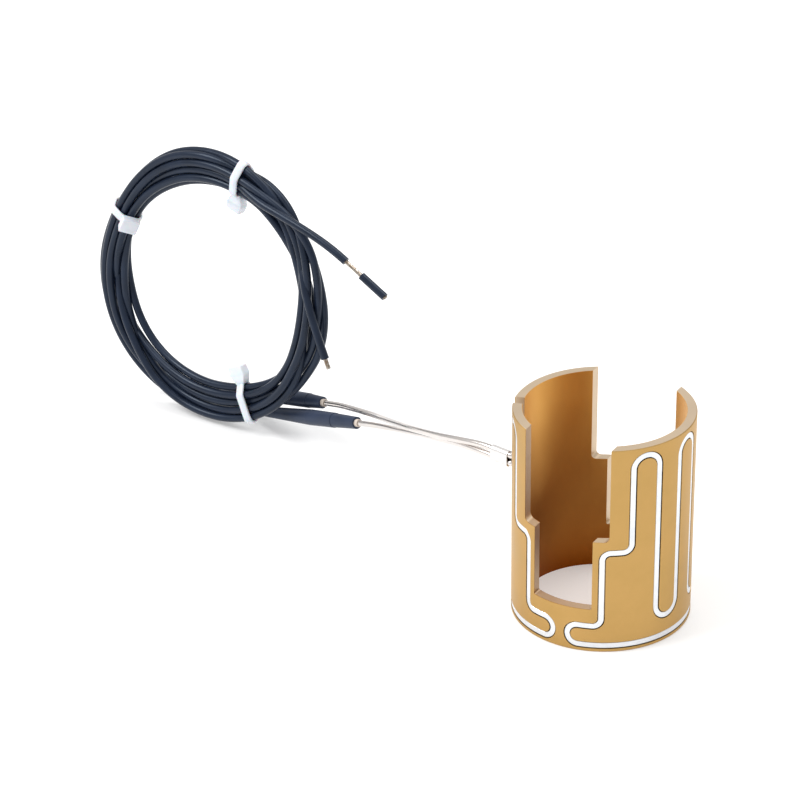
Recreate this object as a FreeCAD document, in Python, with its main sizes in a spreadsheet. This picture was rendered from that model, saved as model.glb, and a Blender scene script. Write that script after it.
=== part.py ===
import FreeCAD, Part
import math
import os

from FreeCAD import Placement, Rotation, Vector

# Hot runner nozzle heater: a brass sleeve with a serpentine heating element pressed into a groove on
# its outside, two cold ends that leave through a slot in the sleeve, and two leads coiled and tied.
# Millimetres and degrees. The origin is on the bore's axis at the sleeve's base, with +Z up the axis.
# The stepped slot through both walls runs along Y, and its front is at 270 degrees.

Vector2d = FreeCAD.Base.Vector2d
X_AXIS = Vector(1, 0, 0)
Y_AXIS = Vector(0, 1, 0)
Z_AXIS = Vector(0, 0, 1)
FRONT = -90.0
BACK = 90.0

doc = FreeCAD.newDocument("nozzle_heater")
sheet = doc.addObject("Spreadsheet::Sheet", "Dimensions")

DIMENSIONS = [
    # Sleeve
    ("sleeve_bore_diameter", 44.5),
    ("sleeve_wall", 2.75),
    ("sleeve_height", 62.0),
    ("sleeve_edge_break", 0.25),
    ("slot_upper_width", 25.5),
    ("slot_lower_width", 17.5),
    ("slot_ledge_height", 34.2),
    ("slot_sill_height", 13.2),
    ("slot_ledge_fillet", 1.4),
    ("slot_sill_fillet", 0.5),
    # Groove and heating element
    ("groove_depth", 1.85),
    ("sheath_width", 1.6),
    ("sheath_depth", 1.65),
    ("sheath_edge_round", 0.1),
    ("groove_side_gap", 0.22),
    ("groove_floor_gap", 0.05),
    ("bottom_run_height", 2.0),
    ("lower_run_height", 8.0),
    ("top_run_below_rim", 2.4),
    ("step_run_below_ledge", 3.3),
    ("upper_leg_angle", 45.0),
    ("lower_leg_angle", 26.5),
    ("tip_angle", 5.0),
    ("leg_pitch_angle", 18.0),
    ("step_bend_radius", 2.4),
    # Cold ends and the slot that they leave through
    ("exit_slot_width", 3.6),
    ("exit_slot_floor_gap", 0.3),
    ("exit_below_rim", 18.45),
    ("exit_leg_bend_radius", 2.0),
    ("cold_end_diameter", 1.8),
    ("cold_end_spacing", 2.3),
    ("cold_end_bend_radius", 1.35),
    ("cold_end_heading", 169.0),
    ("cold_end_overlap", 0.4),
    ("cold_end_straight", 3.8),
    ("cold_end_entry_length", 8.0),
    ("cold_end_entry_bend_radius", 30.0),
    ("band_length", 5.9),
    ("band_wall", 0.3),
    ("band_gap", 0.05),
    ("band_to_bend", 0.1),
    # Boots over the splices
    ("boot_length", 46.0),
    ("boot_tip_length_a", 6.0),
    ("boot_tip_length_b", 10.7),
    ("boot_taper_length", 12.0),
    ("boot_tip_diameter", 3.7),
    ("boot_seam_diameter", 4.4),
    ("boot_middle_diameter", 4.9),
    ("boot_rear_diameter", 3.2),
    ("boot_step", 0.12),
    ("boot_gap", 0.05),
    ("seal_diameter", 2.4),
    ("seal_length", 4.0),
    ("seal_proud", 1.3),
    ("sheath_in_boot", 9.0),
    ("pin_diameter", 0.9),
    ("pin_length", 9.0),
    ("crimp_diameter", 2.5),
    ("crimp_length", 9.0),
    ("crimp_gap", 0.05),
    ("splice_gap", 0.8),
    # Leads
    ("lead_diameter", 2.45),
    ("conductor_diameter", 1.1),
    ("conductor_a_bare_length", 6.6),
    ("slug_length", 9.6),
    ("slug_diameter", 2.35),
    ("slug_gap", 0.05),
    ("conductor_a_proud", 0.4),
    ("conductor_b_length", 3.2),
    # Coil of both leads, standing on its edge
    ("coil_radius", 39.2),
    ("coil_section_height", 10.4),
    ("coil_section_depth", 6.2),
    ("coil_centre_x", -156.6),
    ("coil_centre_y", 44.2),
    ("coil_heading", -5.7),
    ("coil_lean", 3.7),
    # Cable ties
    ("tie_width", 2.7),
    ("tie_thickness", 0.9),
    ("tie_gap", 0.08),
    ("tie_head_width", 5.8),
    ("tie_head_neck_width", 3.2),
    ("tie_head_length", 5.8),
    ("tie_head_height", 3.2),
    ("tie_head_round", 0.7),
]

for row, (name, value) in enumerate(DIMENSIONS, start=1):
    sheet.set(f"A{row}", name)
    sheet.set(f"B{row}", str(value))
    sheet.setAlias(f"B{row}", name)
doc.recompute()


def size(name):
    return float(sheet.get(name))


def bind(obj, prop, expression):
    obj.setExpression(prop, expression.replace("@", "Dimensions."))


def around(angle, radius=1.0, height=0.0):
    turn = math.radians(angle)
    return Vector(radius * math.cos(turn), radius * math.sin(turn), height)


# Routes of straight runs joined by tangent arcs


def run_radius(before, corner, after):
    """The largest gentle bend at a corner: 0.45 of the shorter run over the tangent of half the turn."""
    turn = (corner - before).getAngle(after - corner)
    shorter = min(corner.distanceToPoint(before), corner.distanceToPoint(after))
    return 0.45 * shorter / math.tan(turn / 2)


def bent_wire(points, bends=None):
    """A wire through the points, with each corner replaced by a tangent arc."""
    bends = bends or {}
    edges = []
    radii = []
    here = points[0]
    for i in range(1, len(points) - 1):
        before, corner, after = points[i - 1], points[i], points[i + 1]
        inward = (corner - before).normalize()
        onward = (after - corner).normalize()
        turn = inward.getAngle(onward)
        radius = bends.get(i) or run_radius(before, corner, after)
        radii.append(radius)
        tangent = radius * math.tan(turn / 2)
        start = corner - inward * tangent
        end = corner + onward * tangent
        to_centre = (onward - inward).normalize()
        middle = corner + to_centre * (radius / math.cos(turn / 2) - radius)
        edges.append(Part.LineSegment(here, start).toShape())
        edges.append(Part.Arc(start, middle, end).toShape())
        here = end
    edges.append(Part.LineSegment(here, points[-1]).toShape())
    return Part.Wire(edges), radii


def bent_rod(name, points, diameter, bends=None):
    """A round rod along a bent wire, its volume compared with its section times its length."""
    wire, radii = bent_wire(points, bends)
    direction = (points[1] - points[0]).normalize()
    circle = Part.Wire(Part.makeCircle(diameter / 2, points[0], direction))
    rod = wire.makePipeShell([circle], True, False)
    expected = math.pi * diameter**2 / 4 * wire.Length
    shortest = min(radii) if radii else 0
    print(f"{name}: length {wire.Length:.1f}, bends {[round(r, 1) for r in radii]}, smallest {shortest:.1f},",
          f"volume over section times length {rod.Volume / expected:.4f}")
    return rod


# Bars wrapped on the sleeve


def flat_route(corners):
    """Lines and arcs of the unrolled outside through corners given as (arc length, height, radius)."""
    pieces = []
    here = Vector(corners[0][0], corners[0][1], 0)
    for i in range(1, len(corners) - 1):
        before = Vector(corners[i - 1][0], corners[i - 1][1], 0)
        corner = Vector(corners[i][0], corners[i][1], 0)
        after = Vector(corners[i + 1][0], corners[i + 1][1], 0)
        radius = corners[i][2]
        inward = (corner - before).normalize()
        onward = (after - corner).normalize()
        side = 1 if inward.cross(onward).z > 0 else -1
        turn = inward.getAngle(onward)
        start = corner - inward * radius * math.tan(turn / 2)
        end = corner + onward * radius * math.tan(turn / 2)
        if here.distanceToPoint(start) > 1e-6:
            pieces.append(("line", here, start))
        centre = start + Vector(-inward.y, inward.x, 0) * radius * side
        first = math.atan2(start.y - centre.y, start.x - centre.x)
        pieces.append(("arc", centre, radius, first, side * turn))
        here = end
    last = Vector(corners[-1][0], corners[-1][1], 0)
    pieces.append(("line", here, last))
    return pieces


def rail(pieces, offset, radius, unrolled_radius):
    """The route moved sideways by the offset, as edges on a cylinder of the given radius."""
    surface = Part.Cylinder()
    surface.Radius = radius
    edges = []
    for piece in pieces:
        if piece[0] == "line":
            start, end = piece[1], piece[2]
            direction = (end - start).normalize()
            sideways = Vector(-direction.y, direction.x, 0) * offset
            points = [p + sideways for p in (start, end)]
            ends = [Vector2d(p.x / unrolled_radius, p.y) for p in points]
            edges.append(Part.Geom2d.Line2dSegment(*ends).toShape(surface))
        else:
            _, centre, bend, first, turn = piece
            bend -= offset if turn > 0 else -offset
            middle = Vector2d(centre.x / unrolled_radius, centre.y)
            ellipse = Part.Geom2d.Ellipse2d(middle, bend, bend / unrolled_radius)
            ellipse.XAxis = Vector2d(0, 1)
            low, high = sorted((first - math.pi / 2, first - math.pi / 2 + turn))
            edges.append(Part.Geom2d.ArcOfEllipse2d(ellipse, low, high).toShape(surface))
    return edges


def wrapped_bar(corners, section, unrolled_radius):
    """A bar whose section, a list of (sideways, radius) points, follows the route round the sleeve."""
    pieces = flat_route(corners)
    rails = [rail(pieces, offset, radius, unrolled_radius) for offset, radius in section]
    faces = []
    for i, edges in enumerate(rails):
        neighbours = rails[(i + 1) % len(rails)]
        faces += [Part.makeRuledSurface(a, b) for a, b in zip(edges, neighbours)]
    for corner, heading in ((corners[0], corners[1]), (corners[-1], corners[-2])):
        angle = math.degrees(corner[0] / unrolled_radius)
        leftward = 1 if heading[0] > corner[0] else -1
        leftward *= 1 if corner is corners[0] else -1
        outline = [around(angle, radius, corner[1] + leftward * offset) for offset, radius in section]
        faces.append(Part.Face(Part.makePolygon(outline + outline[:1])))
    shell = Part.Shell(faces)
    bar = Part.Solid(shell)
    if bar.Volume < 0:
        bar.reverse()
    return bar


def heater_corners(outer_radius, end_angle):
    """The element's centreline on the unrolled outside, from its lower end round to its upper end."""
    low = size("lower_run_height")
    bottom = size("bottom_run_height")
    top = size("sleeve_height") - size("top_run_below_rim")
    step = size("slot_ledge_height") - size("step_run_below_ledge")
    pitch = size("leg_pitch_angle")
    upper = size("upper_leg_angle")
    lower = size("lower_leg_angle")
    tip = size("tip_angle")
    exit_low, exit_high = exit_heights()
    exit_leg = BACK + upper + 3 * pitch
    u_bend = math.radians(pitch) * outer_radius / 2
    tip_bend = (low - bottom) / 2
    step_bend = size("step_bend_radius")
    exit_bend = size("exit_leg_bend_radius")

    def serpentine(first, count):
        turns = []
        for i in range(count - 1):
            level = top if i % 2 == 0 else low
            turns.append((first + pitch * i, level, u_bend))
            turns.append((first + pitch * (i + 1), level, u_bend))
        return turns

    front_left = FRONT + 360
    right_legs = round((BACK - FRONT - 2 * upper) / pitch) + 1
    corners = [(end_angle, exit_low, 0), (exit_leg, exit_low, exit_bend)]
    corners += [(exit_leg, low, u_bend), (exit_leg + pitch, low, u_bend)]
    corners += [(exit_leg + pitch, top, u_bend), (front_left - upper, top, u_bend)]
    corners += [(front_left - upper, step, step_bend), (front_left - lower, step, step_bend)]
    corners += [(front_left - lower, low, step_bend), (front_left - tip, low, tip_bend)]
    corners += [(front_left - tip, bottom, tip_bend), (FRONT + tip, bottom, tip_bend)]
    corners += [(FRONT + tip, low, tip_bend), (FRONT + lower, low, step_bend)]
    corners += [(FRONT + lower, step, step_bend), (FRONT + upper, step, step_bend)]
    corners += serpentine(FRONT + upper, right_legs)
    corners += [(BACK - upper, step, step_bend), (BACK - lower, step, step_bend)]
    corners += [(BACK - lower, low, step_bend), (BACK + lower, low, step_bend)]
    corners += [(BACK + lower, step, step_bend), (BACK + upper, step, step_bend)]
    corners += serpentine(BACK + upper, 4)
    corners += [(exit_leg, exit_high, exit_bend), (end_angle, exit_high, 0)]
    return [(math.radians(angle) * outer_radius, height, bend) for angle, height, bend in corners]


def exit_heights():
    middle = size("sleeve_height") - size("exit_below_rim")
    return middle - size("cold_end_spacing") / 2, middle + size("cold_end_spacing") / 2


# Positions shared by the sleeve, the element and the band

sleeve_radius = size("sleeve_bore_diameter") / 2 + size("sleeve_wall")
groove_floor = sleeve_radius - size("groove_depth")
sheath_floor = groove_floor + size("groove_floor_gap")
sheath_top = sheath_floor + size("sheath_depth")
sheath_middle = (sheath_floor + sheath_top) / 2
exit_angle = BACK + size("upper_leg_angle") + 3.5 * size("leg_pitch_angle")
exit_reach = math.atan2(size("cold_end_bend_radius"), sheath_middle + size("cold_end_bend_radius"))
element_end_angle = exit_angle - math.degrees(exit_reach)
outward = around(size("cold_end_heading"))


def cold_end_start(height):
    """The end of the wrapped element, the corner of the bend outwards and where that bend ends."""
    start = around(element_end_angle, sheath_middle, height)
    tangent = around(element_end_angle + 90)
    turn = tangent.getAngle(outward)
    reach = size("cold_end_bend_radius") * math.tan(turn / 2)
    corner = start + tangent * reach
    return start - tangent * size("cold_end_overlap"), corner, corner + outward * reach


# Boots: the axis runs from the tip, where the cold end enters, to the rear, where the lead leaves

BOOT_TIPS = {"a": Vector(-117.3, 44.3, 14.2), "b": Vector(-99.1, 34.1, 16.5)}
BOOT_AIMS = {"a": Vector(-160.5, 55.8, 3.6), "b": Vector(-140.8, 48.3, 3.4)}


def boot_direction(side):
    return (BOOT_AIMS[side] - BOOT_TIPS[side]).normalize()


def along_boot(side, distance):
    return BOOT_TIPS[side] + boot_direction(side) * distance


def boot_placement(side):
    return Placement(BOOT_TIPS[side], Rotation(Z_AXIS, boot_direction(side)))


# Cold ends, from the band to the boots. Each point gives x, y and its height's share of the way from
# the boot's tip up to the exit.

COLD_END_ROUTES = {
    "a": [(-41.3, -4.6, 0.961), (-50.8, -1.0, 0.872), (-62.6, 6.6, 0.72), (-77.8, 19.9, 0.472),
          (-92.4, 32.4, 0.25), (-102.3, 38.9, 0.125)],
    "b": [(-41.7, -3.8, 0.97), (-52.3, 1.7, 0.838), (-66.7, 13.6, 0.552), (-81.8, 26.0, 0.243)],
}


def cold_end_route(side, height):
    start, corner, bend_end = cold_end_start(height)
    straight = size("band_to_bend") + size("band_length") + size("cold_end_straight")
    foot = BOOT_TIPS[side].z
    route = [start, corner, bend_end + outward * straight]
    route += [Vector(x, y, foot + share * (height - foot)) for x, y, share in COLD_END_ROUTES[side]]
    return route + [along_boot(side, -size("cold_end_entry_length")), along_boot(side, size("sheath_in_boot"))]


def cold_end(side, height):
    route = cold_end_route(side, height)
    bends = {1: size("cold_end_bend_radius"), len(route) - 2: size("cold_end_entry_bend_radius")}
    return bent_rod(f"cold end {side}", route, size("cold_end_diameter"), bends)


# The coil's frame: X along the coil, Y across it and Z up it, turned and leaned with the coil


def coil_placement():
    lean = math.radians(size("coil_lean"))
    high = size("coil_section_height") / 2 * math.cos(lean)
    deep = size("coil_section_depth") / 2 * math.sin(lean)
    height = size("coil_radius") * math.cos(lean) + math.hypot(high, deep)
    centre = Vector(size("coil_centre_x"), size("coil_centre_y"), height)
    turned = Rotation(Z_AXIS, size("coil_heading")).multiply(Rotation(X_AXIS, -size("coil_lean")))
    return Placement(centre, turned)


def on_coil(radius, angle, across):
    turn = math.radians(angle)
    local = Vector(radius * math.cos(turn), across, radius * math.sin(turn))
    return coil_placement().multVec(local)


def section_placement(angle):
    """At an angle round the coil: X outwards in its plane, Y across it and Z along the turns."""
    turned = Placement(Vector(), Rotation(Y_AXIS, -angle))
    outwards = Placement(Vector(size("coil_radius"), 0, 0), Rotation())
    return coil_placement().multiply(turned).multiply(outwards)


# Small builders


def solid_feature(label, shape, placement=None):
    feature = doc.addObject("Part::Feature", label)
    feature.Label = label
    feature.Shape = shape
    feature.Placement = placement or Placement()
    return feature


def cylinder(label, radius, height, start="0"):
    piece = doc.addObject("Part::Cylinder", label)
    bind(piece, "Radius", radius)
    bind(piece, "Height", height)
    bind(piece, "Placement.Base.z", start)
    return piece


def cone(label, radius_1, radius_2, height, start):
    piece = doc.addObject("Part::Cone", label)
    bind(piece, "Radius1", radius_1)
    bind(piece, "Radius2", radius_2)
    bind(piece, "Height", height)
    bind(piece, "Placement.Base.z", start)
    return piece


def joined(label, pieces):
    fuse = doc.addObject("Part::MultiFuse", label)
    fuse.Shapes = pieces
    return fuse


def cut(label, base, tool, placement=None):
    piece = doc.addObject("Part::Cut", label)
    piece.Label = label
    piece.Base = base
    piece.Tool = tool
    piece.Placement = placement or Placement()
    return piece


def body_plane(body, role):
    return next(plane for plane in body.Origin.OriginFeatures if plane.Role == role)


def ring_sketch(body, name, radii):
    """A sketch on the XY plane with a circle for each named radius."""
    sketch = body.newObject("Sketcher::SketchObject", name)
    sketch.AttachmentSupport = (body_plane(body, "XY_Plane"), [""])
    sketch.MapMode = "FlatFace"
    for i, (label, expression) in enumerate(radii):
        sketch.addGeometry(Part.Circle(Vector(), Z_AXIS, 1 + i), False)
        sketch.addConstraint(Sketcher.Constraint("Coincident", i, 3, -1, 1))
        index = sketch.addConstraint(Sketcher.Constraint("Radius", i, 1.0 + i))
        sketch.renameConstraint(index, label)
        bind(sketch, f"Constraints.{label}", expression)
    return sketch


import Sketcher

parts = []


# Sleeve


def sleeve_blank():
    body = doc.addObject("PartDesign::Body", "sleeve_blank")
    radii = [("outside", "@sleeve_bore_diameter / 2 + @sleeve_wall"), ("bore", "@sleeve_bore_diameter / 2")]
    pad = body.newObject("PartDesign::Pad", "sleeve_wall")
    pad.Profile = ring_sketch(body, "sleeve_rings", radii)
    bind(pad, "Length", "@sleeve_height")
    doc.recompute()
    chamfer = body.newObject("PartDesign::Chamfer", "sleeve_edges")
    rims = [
        f"Edge{i}"
        for i, edge in enumerate(pad.Shape.Edges, start=1)
        if isinstance(edge.Curve, Part.Circle) and edge.Curve.Radius > sleeve_radius - 0.1
    ]
    chamfer.Base = (pad, rims)
    bind(chamfer, "Size", "@sleeve_edge_break")
    return body


def slot_cutter(name, width, floor, fillet):
    """A box along Y through both walls, open above, with its two lower edges rounded."""
    outside = "(@sleeve_bore_diameter + 2 * @sleeve_wall)"
    box = doc.addObject("Part::Box", f"{name}_box")
    bind(box, "Length", width)
    bind(box, "Width", f"{outside} * 1.2")
    bind(box, "Height", f"@sleeve_height * 1.2 - ({floor})")
    bind(box, "Placement.Base.x", f"-({width}) / 2")
    bind(box, "Placement.Base.y", f"-{outside} * 0.6")
    bind(box, "Placement.Base.z", floor)
    doc.recompute()
    floor_height = min(v.Z for v in box.Shape.Vertexes)
    lower = [
        i
        for i, edge in enumerate(box.Shape.Edges, start=1)
        if abs(edge.tangentAt(edge.FirstParameter).y) > 0.9
        and edge.Vertexes[0].Z < floor_height + 1e-6
    ]
    rounded = doc.addObject("Part::Fillet", name)
    rounded.Base = box
    rounded.Edges = [(i, size(fillet), size(fillet)) for i in lower]
    return rounded


def exit_slot_cutter():
    """The slot from the rim down to the cold ends, open through the wall."""
    exit_low, _ = exit_heights()
    floor = exit_low - size("cold_end_diameter") / 2 - size("exit_slot_floor_gap")
    box = doc.addObject("Part::Box", "exit_slot")
    bind(box, "Width", "@exit_slot_width")
    box.Length = sleeve_radius
    box.Height = size("sleeve_height") * 1.2 - floor
    turned = Rotation(Z_AXIS, exit_angle)
    side = Vector(sleeve_radius * 0.6, -size("exit_slot_width") / 2, floor)
    box.Placement = Placement(turned.multVec(side), turned)
    return box


def groove_cutter():
    half = size("sheath_width") / 2 + size("groove_side_gap")
    above = sleeve_radius + 1
    section = [(-half, groove_floor), (half, groove_floor), (half, above), (-half, above)]
    corners = heater_corners(sleeve_radius, exit_angle)
    return solid_feature("groove_cutter", wrapped_bar(corners, section, sleeve_radius))


blank = sleeve_blank()
upper_slot = slot_cutter("slot_upper", "@slot_upper_width", "@slot_ledge_height", "slot_ledge_fillet")
lower_slot = slot_cutter("slot_lower", "@slot_lower_width", "@slot_sill_height", "slot_sill_fillet")
slots = joined("slots", [upper_slot, lower_slot, exit_slot_cutter()])
slotted = cut("slotted_sleeve", blank, slots)
parts.append(cut("sleeve", slotted, groove_cutter()))


# Heating element: the wrapped sheath and both of its cold ends, one sealed piece


def heating_element():
    half = size("sheath_width") / 2
    edge = size("sheath_edge_round")
    shoulder = sheath_top - edge
    section = [
        (-half + edge, sheath_floor),
        (half - edge, sheath_floor),
        (half, sheath_floor + edge),
        (half, shoulder),
        (half - edge, sheath_top),
        (-half + edge, sheath_top),
        (-half, shoulder),
        (-half, sheath_floor + edge),
    ]
    corners = heater_corners(sleeve_radius, element_end_angle)
    wrapped = wrapped_bar(corners, section, sleeve_radius)
    outline = Part.Face(Part.makePolygon([Vector(x, y, 0) for x, y in section + section[:1]]))
    print(f"wrapped sheath: length {wrapped.Volume / outline.Area:.0f}")
    exit_low, exit_high = exit_heights()
    return wrapped.fuse([cold_end("a", exit_high), cold_end("b", exit_low)])


parts.append(solid_feature("heating_element", heating_element()))


# Band round both cold ends, just outside the sleeve


def cold_end_band():
    outer_radius = size("cold_end_diameter") / 2 + size("band_gap") + size("band_wall")
    inner_radius = size("cold_end_diameter") / 2 + size("band_gap")
    half = size("cold_end_spacing") / 2

    def obround(radius):
        left = Vector(-radius, 0, 0)
        right = Vector(radius, 0, 0)
        up = Vector(0, half, 0)
        edges = [
            Part.LineSegment(right - up, right + up).toShape(),
            Part.Arc(right + up, Vector(0, half + radius, 0), left + up).toShape(),
            Part.LineSegment(left + up, left - up).toShape(),
            Part.Arc(left - up, Vector(0, -half - radius, 0), right - up).toShape(),
        ]
        return Part.Face(Part.Wire(edges)).extrude(Vector(0, 0, size("band_length")))

    return obround(outer_radius).cut(obround(inner_radius))


_, _, band_start = cold_end_start(sum(exit_heights()) / 2)
sideways = Z_AXIS.cross(outward)
band_axes = Rotation(sideways, Z_AXIS, outward, "ZYX")
band_start += outward * size("band_to_bend")
parts.append(solid_feature("cold_end_band", cold_end_band(), Placement(band_start, band_axes)))


# Boots, end seals, terminal pins and crimps, the same on both leads


def boot(side):
    tip = f"@boot_tip_length_{side}"
    widest = f"{tip} + @boot_taper_length"
    outer = [
        cone(f"boot_{side}_tip", "@boot_tip_diameter / 2", "@boot_seam_diameter / 2", tip, "0"),
        cone(f"boot_{side}_front", "@boot_seam_diameter / 2 + @boot_step", "@boot_middle_diameter / 2",
             "@boot_taper_length", tip),
        cone(f"boot_{side}_back", "@boot_middle_diameter / 2", "@boot_rear_diameter / 2",
             f"@boot_length - ({widest})", widest),
    ]
    lead_start = "@sheath_in_boot + @pin_length + @crimp_length / 2 + @splice_gap"
    bores = [
        cylinder(f"boot_{side}_seal_bore", "@seal_diameter / 2 + @boot_gap", "@seal_length - @seal_proud"),
        cylinder(f"boot_{side}_sheath_bore", "@cold_end_diameter / 2 + @boot_gap", "@sheath_in_boot"),
        cylinder(f"boot_{side}_crimp_bore", "@crimp_diameter / 2 + @boot_gap",
                 f"{lead_start} - @sheath_in_boot", "@sheath_in_boot"),
        cylinder(f"boot_{side}_lead_bore", "@lead_diameter / 2 + @boot_gap",
                 f"@boot_length - ({lead_start})", lead_start),
    ]
    solid = joined(f"boot_{side}_solid", outer)
    hollow = joined(f"boot_{side}_hollow", bores)
    return cut(f"boot_{side}", solid, hollow, boot_placement(side))


def ring_piece(label, side, outer_radius, inner_radius, length, start):
    outer = cylinder(f"{label}_outer", outer_radius, length, start)
    inner = cylinder(f"{label}_inner", inner_radius, length, start)
    return cut(label, outer, inner, boot_placement(side))


def terminal_pin(side):
    pin = cylinder(f"terminal_pin_{side}", "@pin_diameter / 2", "@pin_length")
    pin.Label = f"terminal_pin_{side}"
    pin.setExpression("Placement.Base.z", None)
    pin.Placement = Placement(along_boot(side, size("sheath_in_boot")), boot_placement(side).Rotation)
    return pin


for side in ("a", "b"):
    parts.append(boot(side))
    parts.append(ring_piece(f"end_seal_{side}", side, "@seal_diameter / 2",
                            "@cold_end_diameter / 2 + @boot_gap", "@seal_length", "-@seal_proud"))
    parts.append(terminal_pin(side))
    parts.append(ring_piece(f"crimp_{side}", side, "@crimp_diameter / 2", "@pin_diameter / 2 + @crimp_gap",
                            "@crimp_length", "@sheath_in_boot + @pin_length - @crimp_length / 2"))


# Coil of both leads


def lead_coil():
    body = doc.addObject("PartDesign::Body", "lead_coil")
    sketch = body.newObject("Sketcher::SketchObject", "coil_section")
    sketch.AttachmentSupport = (body_plane(body, "XY_Plane"), [""])
    sketch.MapMode = "FlatFace"
    centre = Vector(size("coil_radius"), 0, 0)
    outer = centre + Vector(size("coil_section_height") / 2, 0, 0)
    across = centre + Vector(0, size("coil_section_depth") / 2, 0)
    sketch.addGeometry(Part.Ellipse(outer, across, centre), False)
    sketch.exposeInternalGeometry(0)
    names = [("coil_radius", "@coil_radius"), ("half_height", "@coil_section_height / 2"),
             ("half_depth", "@coil_section_depth / 2")]
    rows = [
        Sketcher.Constraint("DistanceX", -1, 1, 0, 3, size("coil_radius")),
        Sketcher.Constraint("Distance", 0, 3, 1, 2, size("coil_section_height") / 2),
        Sketcher.Constraint("Distance", 0, 3, 2, 2, size("coil_section_depth") / 2),
    ]
    sketch.addConstraint(Sketcher.Constraint("PointOnObject", 0, 3, -1))
    sketch.addConstraint(Sketcher.Constraint("Horizontal", 1))
    for (label, expression), row in zip(names, rows):
        index = sketch.addConstraint(row)
        sketch.renameConstraint(index, label)
        bind(sketch, f"Constraints.{label}", expression)
    turned = body.newObject("PartDesign::Revolution", "coil_turns")
    turned.Profile = sketch
    turned.ReferenceAxis = (sketch, ["V_Axis"])
    turned.Angle = 360
    body.Placement = coil_placement()
    return body


coil = lead_coil()
parts.append(coil)
doc.recompute()


# Leads, from the boots to the coil and from the coil to their stripped ends

LEAD_STARTS = {
    "a": [Vector(-170.6, 56.2, 2.0), Vector(-176.6, 53.2, 3.6), Vector(-181.2, 49.4, 7.4),
          Vector(-184.4, 46.5, 12.4), Vector(-186.6, 45.0, 17.8)],
    "b": [Vector(-151.4, 48.9, 1.9), Vector(-157.6, 46.4, 2.3), Vector(-163.4, 44.2, 3.8)],
}
LEAD_TAILS = {
    "a": [on_coil(39.0, 84, -0.6), on_coil(38.8, 71, -0.8), on_coil(40.4, 58, -4.3), on_coil(43.4, 48.8, -4.6),
          on_coil(49.5, 37, -4.6), on_coil(56.0, 28.2, -4.6), on_coil(59.4, 23.6, -4.6)],
    "b": [on_coil(39.2, 28, -0.8), on_coil(39.6, 18, -1.6), on_coil(40.8, 7, -3.6), on_coil(44.6, -4.6, -4.3),
          on_coil(48.2, -11.3, -4.3)],
}


def lead_from_boot(side):
    splice = size("sheath_in_boot") + size("pin_length")
    start = splice + size("crimp_length") / 2 + size("splice_gap")
    route = [along_boot(side, start), along_boot(side, size("boot_length") + 4)] + LEAD_STARTS[side]
    lead = bent_rod(f"lead {side} start", route, size("lead_diameter"))
    core_length = start - splice - size("splice_gap") / 2
    core = Part.makeCylinder(size("pin_diameter") / 2, core_length, along_boot(side, start - core_length),
                             boot_direction(side))
    return lead.cut(coil.Shape).fuse(core)


def lead_tail(side):
    return bent_rod(f"lead {side} tail", LEAD_TAILS[side], size("lead_diameter")).cut(coil.Shape)


def tail_end(side, distance):
    last, end = LEAD_TAILS[side][-2:]
    direction = (end - last).normalize()
    return end + direction * distance, direction


def conductor(side, length):
    start, direction = tail_end(side, 0)
    return Part.makeCylinder(size("conductor_diameter") / 2, length, start, direction)


def insulation_slug():
    start, direction = tail_end("a", size("conductor_a_bare_length"))
    outer = Part.makeCylinder(size("slug_diameter") / 2, size("slug_length"), start, direction)
    bore = size("conductor_diameter") / 2 + size("slug_gap")
    return outer.cut(Part.makeCylinder(bore, size("slug_length"), start, direction))


def main_solid(shape):
    """The largest solid, without slivers left where a lead grazes the coil."""
    return max(shape.Solids, key=lambda solid: solid.Volume)


for side in ("a", "b"):
    parts.append(solid_feature(f"lead_{side}_start", main_solid(lead_from_boot(side))))
    parts.append(solid_feature(f"lead_{side}_tail", main_solid(lead_tail(side))))

a_length = size("conductor_a_bare_length") + size("slug_length") + size("conductor_a_proud")
parts.append(solid_feature("conductor_a", conductor("a", a_length)))
parts.append(solid_feature("insulation_slug", insulation_slug()))
parts.append(solid_feature("conductor_b", conductor("b", size("conductor_b_length"))))


# Cable ties: a strap round the coil's section with a rounded head

TIES = [
    # Name, angle round the coil, angle of the head round the section
    ("tie_top", 73.0, 180.0),
    ("tie_left", 156.5, 235.0),
    ("tie_bottom", -70.4, 180.0),
]


def section_ellipse(name, growth):
    ellipse = doc.addObject("Part::Ellipse", name)
    bind(ellipse, "MajorRadius", f"@coil_section_height / 2 + {growth}")
    bind(ellipse, "MinorRadius", f"@coil_section_depth / 2 + {growth}")
    prism = doc.addObject("Part::Extrusion", f"{name}_prism")
    prism.Base = ellipse
    prism.DirMode = "Normal"
    prism.Solid = True
    prism.Symmetric = True
    bind(prism, "LengthFwd", "@tie_width")
    return prism


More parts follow.
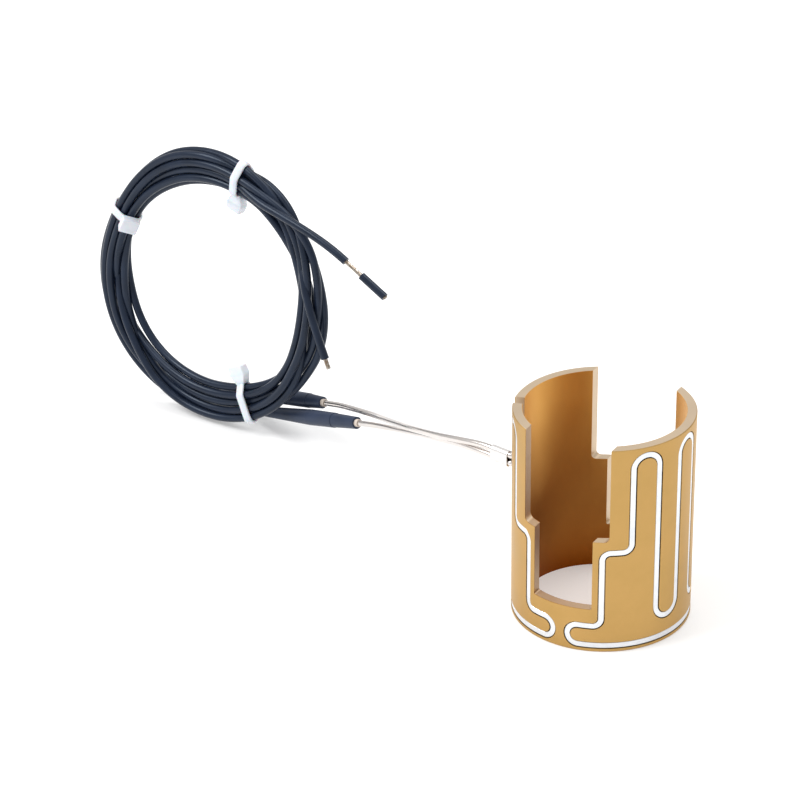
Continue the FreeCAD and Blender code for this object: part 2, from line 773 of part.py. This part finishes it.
def tie_head(name, head_angle):
    """A rounded block that widens from the strap, at an angle round the section."""
    neck = size("tie_head_neck_width") / 2
    wide = size("tie_head_width") / 2
    tall = size("tie_head_length")
    profile = [(0, -neck), (0.55 * tall, -wide), (tall, -0.9 * wide), (tall, 0.9 * wide), (0.55 * tall, wide),
               (0, neck)]
    depth = size("tie_head_height")
    outline = [Vector(x, -depth / 2, z) for x, z in profile]
    block = Part.Face(Part.makePolygon(outline + outline[:1])).extrude(Vector(0, depth, 0))
    corners = [edge for edge in block.Edges
               if abs(edge.tangentAt(edge.FirstParameter).y) > 0.9 and edge.Vertexes[0].X > 0.1]
    block = block.makeFillet(size("tie_head_round"), corners)
    turn = math.radians(head_angle)
    reach_x = size("coil_section_height") / 2 + size("tie_gap")
    reach_y = size("coil_section_depth") / 2 + size("tie_gap")
    seat = Vector(reach_x * math.cos(turn), reach_y * math.sin(turn), 0)
    normal = Vector(seat.x / reach_x**2, seat.y / reach_y**2, 0).normalize()
    turned = Rotation(Z_AXIS, math.degrees(math.atan2(normal.y, normal.x)))
    clear = seat + normal * (size("tie_thickness") / 2)
    return solid_feature(f"{name}_head", block, Placement(clear, turned))


for name, angle, head_angle in TIES:
    outer = section_ellipse(f"{name}_outer", "@tie_gap + @tie_thickness")
    inner = section_ellipse(f"{name}_inner", "@tie_gap")
    strap = cut(f"{name}_strap", outer, inner)
    tie = joined(name, [strap, tie_head(name, head_angle)])
    tie.Label = name
    tie.Placement = section_placement(angle)
    parts.append(tie)

doc.recompute()


# Checks and export

for obj in doc.Objects:
    if "Invalid" in obj.State or "Error" in obj.State:
        raise RuntimeError(f"{obj.Name} did not build: {obj.State}")
for part in parts:
    if part.Shape.isNull() or not part.Shape.isValid() or not part.Shape.Solids:
        raise RuntimeError(f"{part.Label} has no valid solid")

os.makedirs("parts", exist_ok=True)
for part in parts:
    part.Shape.exportStep(f"parts/{part.Label}.step")
    box = part.Shape.BoundBox
    print(f"{part.Label}: {len(part.Shape.Solids)} solid, {part.Shape.Volume:.1f} mm3,",
          f"z {box.ZMin:.2f} to {box.ZMax:.2f}")
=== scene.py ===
import math

import bmesh
import bpy
import numpy as np
from mathutils import Matrix, Vector


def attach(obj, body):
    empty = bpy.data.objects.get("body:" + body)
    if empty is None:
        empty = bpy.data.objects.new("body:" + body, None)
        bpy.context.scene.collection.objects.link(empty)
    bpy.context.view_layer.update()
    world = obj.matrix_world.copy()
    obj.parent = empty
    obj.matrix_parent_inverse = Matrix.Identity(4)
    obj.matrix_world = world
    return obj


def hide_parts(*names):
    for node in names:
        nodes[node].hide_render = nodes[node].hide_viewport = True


# Hot runner nozzle heater: materials on the CAD sleeve and element, and new pieces for the leads, their
# bare strands and the cable ties. Metres, in the CAD's frame. Sizes written in millimetres use MM.

MM = 0.001

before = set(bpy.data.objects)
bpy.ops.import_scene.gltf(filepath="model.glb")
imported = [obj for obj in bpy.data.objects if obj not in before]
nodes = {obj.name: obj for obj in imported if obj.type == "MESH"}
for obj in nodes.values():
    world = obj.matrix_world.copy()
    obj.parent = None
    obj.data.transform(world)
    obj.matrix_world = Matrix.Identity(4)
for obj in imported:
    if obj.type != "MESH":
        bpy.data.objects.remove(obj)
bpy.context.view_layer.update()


# Camera, as fitted to the photograph

eye = Vector((0.31799, -0.65198, 0.43867))
right = Vector((0.86582, 0.50021, -0.01187)).normalized()
forward = Vector((-0.44917, 0.76660, -0.45887)).normalized()
up = right.cross(forward).normalized()
right = forward.cross(up)
camera_data = bpy.data.cameras.new("camera")
camera_data.lens = 135.91
camera_data.sensor_width = 36
camera_data.clip_start = 0.05
camera_data.clip_end = 20
camera = bpy.data.objects.new("camera", camera_data)
axes = Matrix((right, up, -forward)).transposed().to_4x4()
camera.matrix_world = Matrix.Translation(eye) @ axes
bpy.context.scene.collection.objects.link(camera)
bpy.context.scene.camera = camera


# The coil's frame: X along the coil, Y across it and Z up it

LEAD_DIAMETER = 2.45
COIL_RADIUS = 39.2
SECTION_HEIGHT = 10.4
SECTION_DEPTH = 6.2
HEADING = math.radians(-5.7)
LEAN = math.radians(3.7)
section_reach = math.hypot(SECTION_HEIGHT / 2 * math.cos(LEAN), SECTION_DEPTH / 2 * math.sin(LEAN))
COIL_CENTRE = Vector((-156.6, 44.2, COIL_RADIUS * math.cos(LEAN) + section_reach))
COIL_TURN = Matrix.Rotation(HEADING, 3, "Z") @ Matrix.Rotation(-LEAN, 3, "X")


def on_coil(radius, angle, across):
    """A point in millimetres, at a radius and an angle in degrees in the coil's plane."""
    turn = math.radians(angle)
    local = Vector((radius * math.cos(turn), across, radius * math.sin(turn)))
    return COIL_CENTRE + COIL_TURN @ local


# Leads: each winds from its boot round the coil, in ever smaller angles, to its stripped end

STEP = 15
LEADS = {
    "a": {
        "first": 225,
        "last": 75,
        "start": [(-160.5, 55.8, 3.6), (-164.3, 56.8, 2.7), (-170.6, 56.2, 2.0), (-176.6, 53.2, 3.6),
                  (-181.2, 49.4, 7.4), (-184.4, 46.5, 12.4)],
        "tail": [(40.4, 58, -4.3), (43.4, 48.8, -4.6), (49.5, 37, -4.6), (56.0, 28.2, -4.6),
                 (59.4, 23.6, -4.6)],
    },
    "b": {
        "first": 255,
        "last": 30,
        "start": [(-140.8, 48.3, 3.4), (-144.5, 49.5, 2.3), (-151.4, 48.9, 1.9), (-157.6, 46.4, 2.3)],
        "tail": [(39.6, 18, -3.0), (40.8, 7, -3.8), (44.6, -4.6, -4.3), (48.2, -11.3, -4.3)],
    },
}
TURNS = 3
SPREAD_ROUNDS = 240


# Where each lead lies in the coil's section, outwards and across in millimetres, at every step of its way

PLACES = {
    "a": [
        (6.5, 2.4), (8.2, 2.6), (6.5, 1.6), (4.1, 0.6), (1.8, 0.5), (0.9, 0.4), (0.9, 0.5), (2.8, 0.6),
        (4.3, 0.2), (3.9, -0.1), (4.8, -1.2), (4.4, -1.5), (3, -0.2), (1.1, -1.3), (-2.3, -1.4),
        (-4.2, -1.2), (-4.4, -0.7), (-3.8, -0.9), (-3.2, -1.3), (-4.1, -1.4), (-5.1, -1.4), (-5.3, -1.3),
        (-5.3, -1.4), (-5, -1.2), (-3.3, -0.4), (1.5, 2.6), (1.5, 1.4), (-2.4, -1.2), (-4.7, -2),
        (-4.8, -2), (-4.4, -1.8), (-4.5, -1.3), (-3.7, -1.4), (-3.1, -1.3), (-2.8, -1), (-0.8, -0.8),
        (-0.5, -0.8), (-2.8, 0.8), (-0.7, 1.3), (-1, 1.2), (-2.5, 1.4), (-2.7, 1.2), (-4.1, 0.6),
        (-5.9, -0.5), (-7.9, -0.6), (-7.7, -0.8), (-6.8, -0.4), (-5.2, 0.3), (-3.6, 1), (-5.1, 0.6),
        (-5.1, 0.8), (-3.7, 1.2), (-2.3, 2.7), (-2.2, 2.8), (-3.2, 2.3), (-3.3, 1.6), (-2.5, 1.2),
        (-2.1, 1.2), (-1.2, 1.2), (-0.3, 0.8), (1.7, -0.9), (-1, -0.9), (-4.2, 0.8), (-4.3, 0.7),
        (-3.4, 0.5), (-0, -0.6), (2.1, -1.2), (2.2, -1.6), (2.3, -1.5), (2.4, -1.5), (1.9, -2), (0.7, -2.6),
        (-1, -2.4), (-2.1, -2.4), (-2.8, -1.4), (-3.2, 0.2), (-2.2, 0.5), (-2.3, 0.4), (-2.3, 0.2),
        (-2.1, -0.8), (-1.3, -1.4), (-0.7, -1.4), (-0.9, -1.4),
    ],
    "b": [
        (4.3, 2), (5.8, 1.2), (5.3, -0.4), (5, -1), (3.2, -2), (1.3, -2), (-0.2, -2), (-0.3, -2),
        (0.3, -1.9), (2.3, -1.6), (3.7, -1.6), (3.4, -1.2), (2.7, 0.6), (3.5, 1), (3.1, 1.8), (2.5, 1.5),
        (3, 0.8), (3.5, 0.4), (4.4, -0.2), (1, 1.3), (1.7, 1.1), (1.5, 1.2), (0, 1.2), (0.7, 1.4),
        (1.7, 1.6), (3, 0.2), (2.5, -1.6), (2.4, -2.2), (0.8, -2.2), (-1.1, -2.2), (-2.5, -2.1),
        (-2.5, -2.1), (-1.4, -2.1), (-0.5, -1.8), (1, -1.6), (2.1, -1.5), (1.5, -1.6), (2.5, -2.4),
        (6.8, -2.9), (5.8, -1), (3.9, -0.9), (2.5, -0.8), (0.9, 0.6), (-0.6, 1.4), (-1.9, 0.6), (-2.2, -1),
        (-2.6, -1.3), (-2.5, -1.2), (-2, -1.2), (-0.1, 0.9), (3.9, 2.2), (5.7, 1.4), (4.7, 1.9), (2.9, 1.8),
        (1.1, 2.2), (0, 2.2), (-0.5, 2), (0.4, 1.6), (1.6, 1.4), (1.4, 1.2), (1.3, 1.3), (4, 0.2),
        (5.6, -0.7), (4.4, -2.5), (0.7, -2.5), (-1.5, -2.5), (-1.6, -2.4), (-1.1, -2.3), (0.1, -2.1),
        (0.4, -1.7), (0.9, -1.4), (1.3, -0.3), (1.4, -0.6), (0.6, -0.8), (-0.7, -0.2), (-1.3, 0.2),
        (-4.5, -1.2), (-5.4, -1.4), (-4.7, -0.2), (-4.6, 0.4), (-5.2, 0.5), (-5.9, 0.8), (-5.6, 1),
        (-5.2, 1.1), (-3.8, 1.1), (-3, 1.4), (-2, 1), (-1.4, 0.8),
    ],
}


def wanted_places(side):
    """Angles of the lead's turns and the place wanted in the section at each, before they are spread."""
    lead = LEADS[side]
    angles = list(range(lead["first"], lead["last"] - 360 * TURNS - 1, -STEP))
    return angles, np.array(PLACES[side])


def spread_turns():
    """Moves the turns apart wherever two would lie in each other, and keeps them above the floor."""
    angles = {}
    wanted = {}
    for side in LEADS:
        angles[side], wanted[side] = wanted_places(side)
    placed = {side: wanted[side].copy() for side in LEADS}
    sections = {}
    for side in LEADS:
        for i, angle in enumerate(angles[side]):
            sections.setdefault(angle % 360, []).append((side, i))
    apart = LEAD_DIAMETER * 1.02
    for count in range(SPREAD_ROUNDS):
        settle = count / SPREAD_ROUNDS
        if settle < 0.85:
            for side in LEADS:
                p = placed[side]
                middle = (p[:-2] + p[2:]) / 2
                p[1:-1] += 0.08 * (1 - settle) * (middle - p[1:-1])
                p += 0.08 * (1 - settle) * (wanted[side] - p)
        for angle, members in sections.items():
            points = np.array([placed[side][i] for side, i in members])
            for i in range(len(members)):
                for j in range(i + 1, len(members)):
                    gap = points[i] - points[j]
                    distance = math.hypot(*gap)
                    if distance < 1e-6:
                        gap, distance = np.array([1.0, 0.3]), 1.044
                    if distance < apart:
                        push = gap / distance * (apart - distance) / 2
                        points[i] += push
                        points[j] -= push
            sine = math.sin(math.radians(angle))
            if sine < 0:
                floor = LEAD_DIAMETER / 2 + 0.1
                lowest = (COIL_CENTRE.z + (COIL_RADIUS + points[:, 0]) * sine * math.cos(LEAN)
                          - points[:, 1] * math.sin(LEAN))
                points[:, 0] += np.minimum(0, lowest - floor) / -sine
            for point, (side, i) in zip(points, members):
                placed[side][i] = point
    return angles, placed


turn_angles, turn_places = spread_turns()
# How far inside its control points a round spline runs
SHRINK = math.cos(math.radians(STEP / 2)) ** 2 * 0.5 + 0.5


def lead_line(side):
    lead = LEADS[side]
    points = [Vector(p) for p in lead["start"]]
    for angle, (u, v) in zip(turn_angles[side], turn_places[side]):
        points.append(on_coil((COIL_RADIUS + u) / SHRINK, angle, v))
    points += [on_coil(*p) for p in lead["tail"]]
    return [p * MM for p in points]


def spline_object(name, lines, diameter, sides=8, resolution=8, order=3):
    """A curve with a round section: one NURBS spline through each list of control points."""
    curve = bpy.data.curves.new(name, "CURVE")
    curve.dimensions = "3D"
    curve.bevel_depth = diameter / 2
    curve.bevel_resolution = sides
    curve.resolution_u = resolution
    curve.use_fill_caps = True
    for line in lines:
        spline = curve.splines.new("NURBS")
        spline.points.add(len(line) - 1)
        for point, place in zip(spline.points, line):
            point.co = (*place, 1)
        spline.order_u = order
        spline.use_endpoint_u = True
    obj = bpy.data.objects.new(name, curve)
    bpy.context.scene.collection.objects.link(obj)
    return obj


# Materials


def linear(code):
    """A colour written as sRGB hex, as the linear values that the shader takes."""
    parts = [int(code[i:i + 2], 16) / 255 for i in (0, 2, 4)]
    return (*[p / 12.92 if p <= 0.04045 else ((p + 0.055) / 1.055) ** 2.4 for p in parts], 1)


def add(tree, kind, inputs=None, **settings):
    made = tree.nodes.new(kind)
    for key, value in settings.items():
        setattr(made, key, value)
    for key, value in (inputs or {}).items():
        socket = made.inputs[key]
        if isinstance(value, bpy.types.NodeSocket):
            tree.links.new(value, socket)
        else:
            socket.default_value = value
    return made


def new_material(name):
    material = bpy.data.materials.new(name)
    material.use_nodes = True
    tree = material.node_tree
    shader = tree.nodes["Principled BSDF"]
    place = add(tree, "ShaderNodeTexCoord").outputs["Object"]
    return material, tree, shader, place


def noise(tree, place, size_mm, detail=2, stretch=(1, 1, 1)):
    """Noise whose features are about the given size, from 0 to 1."""
    scaled = add(tree, "ShaderNodeVectorMath", {0: place, 1: stretch}, operation="MULTIPLY").outputs[0]
    inputs = {"Vector": scaled, "Scale": 1000 / size_mm, "Detail": detail}
    return add(tree, "ShaderNodeTexNoise", inputs).outputs["Fac"]


def ranged(tree, value, low, high, to_low, to_high):
    inputs = {"Value": value, "From Min": low, "From Max": high, "To Min": to_low, "To Max": to_high}
    return add(tree, "ShaderNodeMapRange", inputs).outputs["Result"]


def mixed(tree, factor, first, second, blend="MIX"):
    inputs = {0: factor, 6: first, 7: second}
    return add(tree, "ShaderNodeMix", inputs, data_type="RGBA", blend_type=blend).outputs[2]


def maths(tree, operation, first, second=0.0):
    return add(tree, "ShaderNodeMath", {0: first, 1: second}, operation=operation).outputs[0]


def bumped(tree, height, depth_mm, strength=1.0, normal=None):
    inputs = {"Height": height, "Distance": depth_mm * MM, "Strength": strength}
    if normal is not None:
        inputs["Normal"] = normal
    return add(tree, "ShaderNodeBump", inputs).outputs["Normal"]


def feed(tree, shader, **sockets):
    for name, value in sockets.items():
        socket = shader.inputs[name.replace("_", " ")]
        if isinstance(value, bpy.types.NodeSocket):
            tree.links.new(value, socket)
        else:
            socket.default_value = value


def axis_distance(tree, place):
    """Distance from the bore's axis, in millimetres."""
    flat = add(tree, "ShaderNodeVectorMath", {0: place, 1: (1000, 1000, 0)}, operation="MULTIPLY")
    return add(tree, "ShaderNodeVectorMath", {0: flat.outputs[0]}, operation="LENGTH").outputs["Value"]


def brass():
    """Satin bead-blasted brass: paler and greyer where it is milled, with painted shade in the bore that
    darkens from light brass at the top to dark brown at the bottom.
    """
    material, tree, shader, place = new_material("satin_brass")
    radius = axis_distance(tree, place)
    inside = ranged(tree, radius, 22.27, 22.4, 0, 1)
    outside = ranged(tree, radius, 24.86, 24.74, 0, 1)
    milled = maths(tree, "MULTIPLY", inside, outside)
    cloud = noise(tree, place, 9, 3)
    face = mixed(tree, ranged(tree, cloud, 0.3, 0.7, 0, 1), linear("B89459"), linear("C29C60"))
    height_mm = maths(tree, "MULTIPLY", add(tree, "ShaderNodeSeparateXYZ", {0: place}).outputs["Z"], 1000)
    # Painted shade: the bore's colour runs from light brass at its top to dark brown at its bottom, where shade
    # falls deep in the bore.
    bore_painted_shade = mixed(tree, ranged(tree, height_mm, 0, 55, 0, 1), linear("844208"), linear("E0AC5C"))
    face = mixed(tree, inside, bore_painted_shade, face)
    colour = mixed(tree, milled, face, linear("CDB99F"))
    grain = noise(tree, place, 0.35, 2)
    turned = noise(tree, place, 1.2, 2, (0.15, 0.15, 9))
    height = maths(tree, "ADD", grain, maths(tree, "MULTIPLY", turned, 0.6))
    rough = ranged(tree, cloud, 0.3, 0.7, 0.42, 0.5)
    normal = bumped(tree, height, 0.012, 0.5)
    feed(tree, shader, Base_Color=colour, Metallic=1.0, Roughness=rough, Normal=normal)
    return material


def sheath():
    """Drawn steel sheath: ground flat and satin in its groove, smoother and brighter on the cold ends."""
    material, tree, shader, place = new_material("satin_steel_sheath")
    radius = axis_distance(tree, place)
    free = ranged(tree, radius, 25.0, 25.6, 0, 1)
    cloud = noise(tree, place, 4, 3)
    colour = mixed(tree, free, linear("E4E7EB"), linear("DCD5D0"))
    colour = mixed(tree, ranged(tree, cloud, 0.45, 0.8, 0, 0.35), colour, linear("BFC4CC"))
    grain = noise(tree, place, 0.25, 2)
    rough = maths(tree, "ADD", ranged(tree, free, 0, 1, 0.36, 0.2), ranged(tree, cloud, 0.3, 0.7, -0.03, 0.03))
    feed(tree, shader, Base_Color=colour, Metallic=1.0, Roughness=rough, Normal=bumped(tree, grain, 0.006, 0.4))
    return material


def band_metal():
    """Bright aluminium band, pressed round both cold ends."""
    material, tree, shader, place = new_material("pressed_aluminium")
    cloud = noise(tree, place, 1.5, 3)
    colour = mixed(tree, cloud, linear("DAD7D5"), linear("E6E3E1"))
    feed(tree, shader, Base_Color=colour, Metallic=0.8, Roughness=0.3, Normal=bumped(tree, cloud, 0.03, 0.5))
    return material


COOL_SHEEN = (0.75, 0.86, 1.0, 1)


def sleeving(name, dark, light, rough, gloss):
    """Dark slate silicone, with a soft sheen and fine dust."""
    material, tree, shader, place = new_material(name)
    cloud = noise(tree, place, 6, 3)
    dust = noise(tree, place, 0.4, 2)
    colour = mixed(tree, ranged(tree, cloud, 0.3, 0.7, 0, 1), linear(dark), linear(light))
    colour = mixed(tree, ranged(tree, dust, 0.66, 0.85, 0, 0.2), colour, linear("454D5C"))
    roughness = ranged(tree, cloud, 0.3, 0.7, rough - 0.04, rough + 0.05)
    feed(tree, shader, Base_Color=colour, Roughness=roughness, Specular_IOR_Level=gloss,
         Specular_Tint=COOL_SHEEN, Normal=bumped(tree, dust, 0.008, 0.25))
    return material


def nylon():
    """Natural nylon: milky, a little translucent and softly shiny."""
    material, tree, shader, place = new_material("natural_nylon")
    cloud = noise(tree, place, 2.5, 2)
    colour = mixed(tree, cloud, linear("C9CFD7"), linear("D8DDE3"))
    feed(tree, shader, Base_Color=colour, Roughness=0.34, Subsurface_Weight=0.25, Subsurface_Scale=0.002,
         Normal=bumped(tree, cloud, 0.03, 0.3))
    return material


def strand_metal():
    """Tinned copper strands, with the copper showing where the tin has worn."""
    material, tree, shader, place = new_material("tinned_copper")
    worn = noise(tree, place, 0.8, 3)
    colour = mixed(tree, ranged(tree, worn, 0.4, 0.65, 0, 1), linear("B5AEA4"), linear("8F7D6C"))
    feed(tree, shader, Base_Color=colour, Metallic=1.0, Roughness=0.3)
    return material


def plain_nickel():
    """Nickel plate on the pins and crimps inside the boots."""
    material, tree, shader, place = new_material("nickel_plate")
    cloud = noise(tree, place, 1.5, 2)
    colour = mixed(tree, cloud, linear("BDB8AE"), linear("D3CEC4"))
    feed(tree, shader, Base_Color=colour, Metallic=1.0, Roughness=0.35)
    return material


def seal_resin():
    """Pale filled resin that seals the mouth of each boot."""
    material, tree, shader, place = new_material("filled_resin")
    cloud = noise(tree, place, 0.6, 3)
    colour = mixed(tree, cloud, linear("B7A99C"), linear("D8CDC2"))
    feed(tree, shader, Base_Color=colour, Roughness=0.6, Normal=bumped(tree, cloud, 0.03, 0.5))
    return material


def dress(obj, material):
    if not obj.data.materials:
        obj.data.materials.append(material)
    for slot in obj.material_slots:
        slot.material = material


LEAD_RUBBER = sleeving("lead_silicone", "131A28", "192233", 0.3, 0.3)
BOOT_RUBBER = sleeving("boot_silicone", "262E40", "2D364A", 0.42, 0.3)
NYLON = nylon()
STRANDS = strand_metal()
NICKEL = plain_nickel()
RESIN = seal_resin()
CAD_LOOKS = {
    "sleeve": brass(),
    "heating_element": sheath(),
    "cold_end_band": band_metal(),
    "boot_a": BOOT_RUBBER,
    "boot_b": BOOT_RUBBER,
    "end_seal_a": RESIN,
    "end_seal_b": RESIN,
    "terminal_pin_a": NICKEL,
    "terminal_pin_b": NICKEL,
    "crimp_a": NICKEL,
    "crimp_b": NICKEL,
    "insulation_slug": LEAD_RUBBER,
}
for name, look in CAD_LOOKS.items():
    dress(nodes[name], look)


# Leads

lead_objects = {}
for side in LEADS:
    lead = spline_object(f"lead_{side}", [lead_line(side)], LEAD_DIAMETER * MM)
    dress(lead, LEAD_RUBBER)
    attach(lead, "root")
    lead_objects[side] = lead
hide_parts("lead_coil", "lead_a_start", "lead_a_tail")
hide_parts("lead_b_start", "lead_b_tail")


# Bare strands


def twisted_strands(name, start, end, radius, strand, pitch, node_name):
    """Seven wires, one straight and six twisted round it. Millimetres."""
    length = (end - start).length
    along = (end - start).normalized()
    side = along.orthogonal().normalized()
    other = along.cross(side)
    lines = [[start, start + (end - start) * 0.5, end]]
    steps = max(6, round(length / pitch * 12))
    for wire in range(6):
        line = []
        for i in range(steps + 1):
            turn = 2 * math.pi * (wire / 6 + length / pitch * i / steps)
            reach = radius - strand / 2
            line.append(start + along * length * i / steps
                        + (side * math.cos(turn) + other * math.sin(turn)) * reach)
        lines.append(line)
    lines = [[p * MM for p in line] for line in lines]
    strands = spline_object(name, lines, strand * MM, sides=2, resolution=3)
    dress(strands, STRANDS)
    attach(strands, "root")
    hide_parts(node_name)
    return strands


def tail_end(side, distance):
    last, end = [on_coil(*p) for p in LEADS[side]["tail"][-2:]]
    return end + (end - last).normalized() * distance


STRAND_START = -1.0
STRAND_PITCH = 7.0
strands_a = twisted_strands("strands_a", tail_end("a", STRAND_START), tail_end("a", 16.6), 0.66, 0.44,
                            STRAND_PITCH, "conductor_a")
strands_b = twisted_strands("strands_b", tail_end("b", STRAND_START), tail_end("b", 3.2), 0.7, 0.46,
                            STRAND_PITCH, "conductor_b")


# Cable ties

STRAP_WIDTH = 2.7
STRAP_THICKNESS = 0.95
# A head is a stack of blocks: from and to in height, then widths and depths at both of its ends
TALL_HEAD = [(0.1, 3.3, (3.2, 5.8), (3.0, 3.2)), (3.3, 5.9, (5.8, 5.2), (3.2, 3.0))]
FLAT_HEAD = [(0.1, 3.0, (4.6, 5.0), (5.8, 5.6))]
TIES = [
    # Name, angle round the coil, direction of the head round the section, head
    ("tie_top", 73.0, 180.0, TALL_HEAD),
    ("tie_left", 153.4, 225.0, FLAT_HEAD),
    ("tie_bottom", 294.0, 180.0, TALL_HEAD),
]


def places_at(angle):
    """Where the turns lie in the section at an angle round the coil, read from their splines."""
    found = []
    for side in LEADS:
        angles = turn_angles[side]
        places = turn_places[side]
        for turn in range(-1, TURNS + 1):
            index = (angles[0] - (angle - 360 * turn)) / STEP
            if not 0.5 <= index <= len(places) - 1.5:
                continue
            near = round(index)
            t = index - near + 0.5
            weights = (0.5 * (1 - t) ** 2, 0.5 + t * (1 - t), 0.5 * t**2)
            found.append(sum(w * places[near + k - 1] for k, w in enumerate(weights)))
    return found


def hull_point(places, direction, clearance):
    normal = np.array([math.cos(direction), math.sin(direction)])
    reach = [p @ normal for p in places]
    return places[int(np.argmax(reach))] + normal * (LEAD_DIAMETER / 2 + clearance)


def section_frame(angle):
    """Axes at an angle round the coil: outwards, across and along the turns, and the section's middle."""
    turn = math.radians(angle)
    outwards = COIL_TURN @ Vector((math.cos(turn), 0, math.sin(turn)))
    across = COIL_TURN @ Vector((0, 1, 0))
    along = outwards.cross(across)
    return outwards, across, along, on_coil(COIL_RADIUS, angle, 0)


def tie(name, angle, head_angle, head):
    places = places_at(angle)
    outwards, across, along, middle = section_frame(angle)
    steps = 96
    half = STRAP_WIDTH / 2
    edge = 0.25
    profile = [(0.05, half - edge), (0.05 + edge, half), (STRAP_THICKNESS - edge, half),
               (STRAP_THICKNESS, half - edge), (STRAP_THICKNESS, edge - half),
               (STRAP_THICKNESS - edge, -half), (0.05 + edge, -half), (0.05, edge - half)]
    mesh = bmesh.new()
    rings = []
    for i in range(steps):
        direction = 2 * math.pi * i / steps
        ring = []
        for lift, sideways in profile:
            u, v = hull_point(places, direction, lift)
            point = middle + outwards * u + across * v + along * sideways
            ring.append(mesh.verts.new(point * MM))
        rings.append(ring)
    for i, ring in enumerate(rings):
        following = rings[(i + 1) % steps]
        for k in range(len(profile)):
            nextk = (k + 1) % len(profile)
            mesh.faces.new((ring[k], ring[nextk], following[nextk], following[k]))
    head_direction = math.radians(head_angle)
    normal2 = np.array([math.cos(head_direction), math.sin(head_direction)])
    seat = hull_point(places, head_direction, 0.0)
    normal = (outwards * normal2[0] + across * normal2[1]).normalized()
    tangent = along.cross(normal).normalized()
    base = middle + outwards * seat[0] + across * seat[1]

    def block(low, high, widths, depths):
        """A block along the normal with its own width and depth at each end."""
        corners = []
        for height, width, depth in ((low, widths[0], depths[0]), (high, widths[1], depths[1])):
            for a, b in ((-1, -1), (1, -1), (1, 1), (-1, 1)):
                point = base + normal * height + along * a * width / 2 + tangent * b * depth / 2
                corners.append(mesh.verts.new(point * MM))
        quads = [(3, 2, 1, 0), (4, 5, 6, 7), (0, 1, 5, 4), (1, 2, 6, 5), (2, 3, 7, 6), (3, 0, 4, 7)]
        for quad in quads:
            mesh.faces.new([corners[k] for k in quad])

    for row in head:
        block(*row)
    bmesh.ops.remove_doubles(mesh, verts=mesh.verts, dist=1e-6)
    bmesh.ops.recalc_face_normals(mesh, faces=mesh.faces)
    data = bpy.data.meshes.new(name)
    mesh.to_mesh(data)
    mesh.free()
    obj = bpy.data.objects.new(f"{name}_nylon", data)
    bpy.context.scene.collection.objects.link(obj)
    bevel = obj.modifiers.new("rounding", "BEVEL")
    bevel.width = 0.35 * MM
    bevel.segments = 3
    bevel.limit_method = "ANGLE"
    bevel.angle_limit = math.radians(50)
    for polygon in data.polygons:
        polygon.use_smooth = True
    dress(obj, NYLON)
    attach(obj, "root")
    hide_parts(name)
    return obj


ties = [tie(*row) for row in TIES]


# The cords' facts


def curve_length(obj):
    """Length of a curve's own line."""
    line = obj.data.copy()
    line.bevel_depth = 0
    holder = bpy.data.objects.new("measured", line)
    mesh = bpy.data.meshes.new_from_object(holder)
    places = [v.co.copy() for v in mesh.vertices]
    bpy.data.objects.remove(holder)
    bpy.data.curves.remove(line)
    bpy.data.meshes.remove(mesh)
    return sum((b - a).length for a, b in zip(places, places[1:]))


lengths = {side: curve_length(lead_objects[side]) for side in LEADS}
print("lead lengths", lengths)


# Floor, light and background


def flat_floor():
    mesh = bmesh.new()
    bmesh.ops.create_grid(mesh, x_segments=1, y_segments=1, size=4)
    data = bpy.data.meshes.new("floor")
    mesh.to_mesh(data)
    mesh.free()
    obj = bpy.data.objects.new("floor", data)
    bpy.context.scene.collection.objects.link(obj)
    material = bpy.data.materials.new("white_floor")
    material.use_nodes = True
    shader = material.node_tree.nodes["Principled BSDF"]
    shader.inputs["Base Color"].default_value = (0.72, 0.72, 0.72, 1)
    shader.inputs["Emission Color"].default_value = (1, 1, 1, 1)
    shader.inputs["Emission Strength"].default_value = 0.28
    shader.inputs["Roughness"].default_value = 0.9
    shader.inputs["Specular IOR Level"].default_value = 0.1
    dress(obj, material)
    return obj


def area_light(name, place, aim, size, power, colour=(1, 1, 1)):
    data = bpy.data.lights.new(name, "AREA")
    data.shape = "DISK"
    data.size = size
    data.energy = power
    data.color = colour
    light = bpy.data.objects.new(name, data)
    light.location = place
    light.rotation_euler = (Vector(aim) - Vector(place)).to_track_quat("-Z", "Y").to_euler()
    bpy.context.scene.collection.objects.link(light)
    return light


flat_floor()
area_light("key", (-0.9, -0.7, 1.3), (-0.05, 0, 0.03), 0.9, 20)
area_light("top", (0.1, 0.5, 1.6), (-0.05, 0, 0.03), 1.2, 12)

world = bpy.data.worlds.new("studio")
world.use_nodes = True
world.node_tree.nodes["Background"].inputs["Color"].default_value = (1, 1, 1, 1)
world.node_tree.nodes["Background"].inputs["Strength"].default_value = 0.74
bpy.context.scene.world = world
bpy.context.scene.view_settings.view_transform = "Standard"
